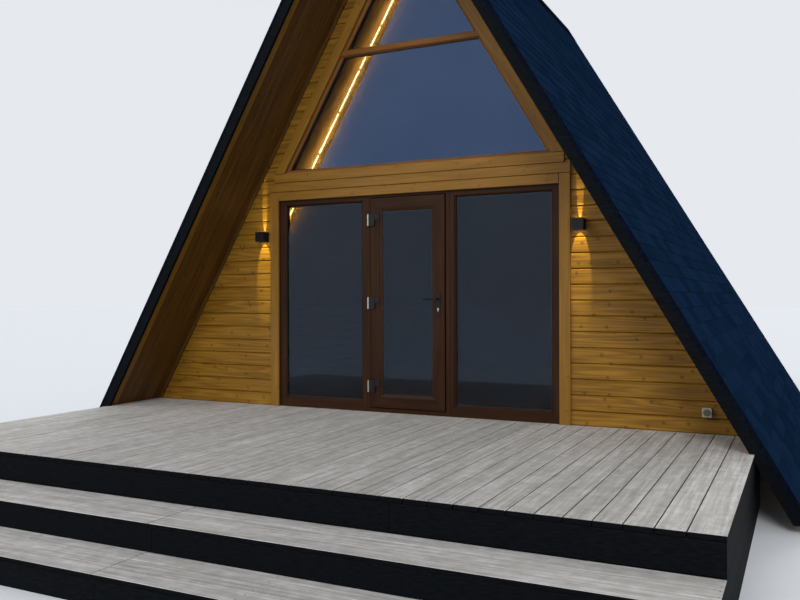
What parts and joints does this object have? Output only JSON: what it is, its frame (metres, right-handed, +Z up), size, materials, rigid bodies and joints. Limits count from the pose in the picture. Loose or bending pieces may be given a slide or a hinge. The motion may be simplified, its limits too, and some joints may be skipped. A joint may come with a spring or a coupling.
{
  "type": "a-frame cabin",
  "caption": "Small timber A-frame cabin with a steep shingled roof down to the ground, a glazed gable, a glazed entrance and a stepped front deck.",
  "frame": {"origin": "on the ground, in the middle of the cabin's whole length with its deck and steps, on its centre line", "axes": "+Z up, +X to the right seen from the steps, +Y from the steps into the cabin"},
  "size_m": [6.88, 9.751, 5.8845],
  "materials": {
    "roof_shingle": "slate granules on bitumen, dark blue grey",
    "flashing_metal": "matt coat on folded sheet steel",
    "black_paint": "matt black fittings",
    "black_timber": "planed boards under black deck paint",
    "stained_cladding": "pine cladding boards, walnut stain, satin",
    "golden_pine": "planed pine boards, golden oak stain, satin",
    "structural_timber": "sawn spruce",
    "mahogany_frame": "mahogany foil on window profile, satin",
    "pane": "clear insulating glass",
    "decking": "weathered grooved decking boards",
    "pier_concrete": "cast concrete",
    "socket_shell": "moulded grey plastic",
    "light_diffuser": "opal cover over warm diodes"
  },
  "bodies": {
    "cabin": {"piers": "pier_concrete", "floor_bearers": "structural_timber", "cabin_floor": "structural_timber", "left_roof_panel": "structural_timber", "right_roof_panel": "structural_timber", "left_lining": "golden_pine", "right_lining": "golden_pine", "left_roof_shingles": "roof_shingle", "right_roof_shingles": "roof_shingle", "ridge_cap": "flashing_metal", "left_front_bargeboard": "black_timber", "right_front_bargeboard": "black_timber", "rear_bargeboards": "black_timber", "left_soffit": "golden_pine", "right_soffit": "golden_pine", "front_wall_left": "stained_cladding", "front_wall_right": "stained_cladding", "front_wall_beam": "stained_cladding", "gable_band_left": "stained_cladding", "gable_band_right": "stained_cladding", "rear_wall": "stained_cladding", "entrance_frame": "mahogany_frame", "entrance_casing": "golden_pine", "beam_boards": "golden_pine", "gable_casing_left": "golden_pine", "gable_casing_right": "golden_pine", "left_window_glass": "pane", "right_window_glass": "pane", "frame_hinges": "black_paint", "gable_window_frame": "golden_pine", "gable_window_glass": "pane", "wall_lights": "black_paint", "outdoor_socket": "socket_shell", "led_strip": "light_diffuser", "deck_boards": "decking", "deck_joists": "structural_timber", "base_fascia": "black_timber", "step_boards": "decking", "step_risers": "black_timber", "step_bearers": "black_timber"},
    "door": {"door_leaf": "mahogany_frame", "door_glass": "pane", "door_hinges": "black_paint", "door_handle_plate": "black_paint"},
    "lever": {"door_lever": "black_paint"}
  },
  "joints": [
    {"name": "door_swing", "type": "hinge", "parent": "cabin", "child": "door", "pos_m": [-0.425, -1.0365, 1.5], "axis": [0, 0, -1], "range_deg": [0, 110]},
    {"name": "lever_turn", "type": "hinge", "parent": "door", "child": "lever", "pos_m": [0.313, -1.0245, 1.624], "axis": [0, -1, 0], "range_deg": [0, 40], "stiffness_Nm_per_rad": 4}
  ]
}
